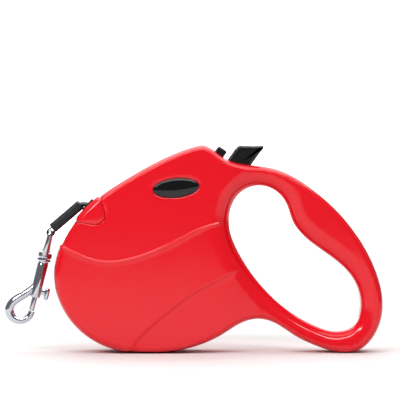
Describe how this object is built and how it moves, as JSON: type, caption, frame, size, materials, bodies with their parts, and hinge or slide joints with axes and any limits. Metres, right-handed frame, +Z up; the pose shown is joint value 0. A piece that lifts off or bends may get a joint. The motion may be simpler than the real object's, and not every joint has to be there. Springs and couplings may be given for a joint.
{
  "type": "retractable dog leash",
  "caption": "Hand-held retractable dog leash: moulded case with loop handle, brake and lock buttons, spring drum, tape with sleeve and swivel bolt snap.",
  "frame": {"origin": "middle of the case's footprint, on the surface it stands on", "axes": "+X from nose to handle, +Y from front shell to rear shell, +Z up"},
  "size_m": [0.2197, 0.0344, 0.1205],
  "materials": {
    "red_shell": "glossy moulded ABS",
    "black_gloss": "glossy moulded ABS",
    "black_satin": "satin moulded nylon",
    "drum_grey": "moulded acetal",
    "black_tape": "woven nylon tape",
    "black_rubber": "ribbed soft sleeve",
    "chrome": "bright chrome plate",
    "spring_steel": "spring steel"
  },
  "bodies": {
    "case": {"front_shell": "red_shell", "rear_shell": "red_shell", "nozzle_collar": "red_shell", "outlet_guide": "black_satin", "front_badge": "black_gloss", "rear_badge": "black_gloss", "shell_screws": "spring_steel", "spool_axle": "spring_steel", "axle_clip": "spring_steel", "spring_arbor": "drum_grey", "mainspring": "spring_steel", "tape_run": "black_tape", "brake_spring": "spring_steel", "lock_spring": "spring_steel"},
    "drum": {"spool": "drum_grey", "spool_cover": "drum_grey", "wound_tape": "black_tape"},
    "brake": {"brake_button": "black_satin"},
    "lock": {"lock_button": "black_satin"},
    "leash_end": {"tape_tail": "black_tape", "tape_sleeve": "black_rubber", "tape_loop": "black_tape"},
    "eye": {"snap_eye": "chrome"},
    "snap": {"snap_body": "chrome", "swivel_rivet": "chrome", "bolt_spring": "spring_steel"},
    "bolt": {"snap_bolt": "chrome"}
  },
  "joints": [
    {"name": "tape_payout", "type": "slide", "parent": "case", "child": "leash_end", "axis": [-1, 0, 0], "range_m": [0, 4], "stiffness_N_per_m": 2, "springref_m": -1},
    {"name": "drum_spin", "type": "hinge", "parent": "case", "child": "drum", "pos_m": [-0.0401, 0, 0.0522], "axis": [0, -1, 0], "range_deg": [0, 7840], "deforming": ["mainspring"]},
    {"name": "brake_press", "type": "slide", "parent": "case", "child": "brake", "axis": [-0.5878, 0, -0.809], "range_m": [0, 0.0045], "stiffness_N_per_m": 600, "springref_m": -0.003, "deforming": ["brake_spring"]},
    {"name": "lock_press", "type": "slide", "parent": "case", "child": "lock", "axis": [-0.5878, 0, -0.809], "range_m": [0, 0.0025], "stiffness_N_per_m": 500, "springref_m": -0.002, "deforming": ["lock_spring"]},
    {"name": "snap_swing", "type": "hinge", "parent": "leash_end", "child": "eye", "pos_m": [-0.0977, 0, 0.0696], "axis": [0, 1, 0], "range_deg": [-2, 80]},
    {"name": "snap_swivel", "type": "hinge", "parent": "eye", "child": "snap", "pos_m": [-0.10189, 0, 0.05281], "axis": [-0.2419, 0, -0.9703], "continuous": true},
    {"name": "bolt_draw", "type": "slide", "parent": "snap", "child": "bolt", "axis": [0.2419, 0, 0.9703], "range_m": [0, 0.0075], "stiffness_N_per_m": 250, "springref_m": -0.004, "deforming": ["bolt_spring"]}
  ],
  "couplings": [
    {"joint": "drum_spin", "follows": "tape_payout", "rad_per_m": 34.165}
  ]
}
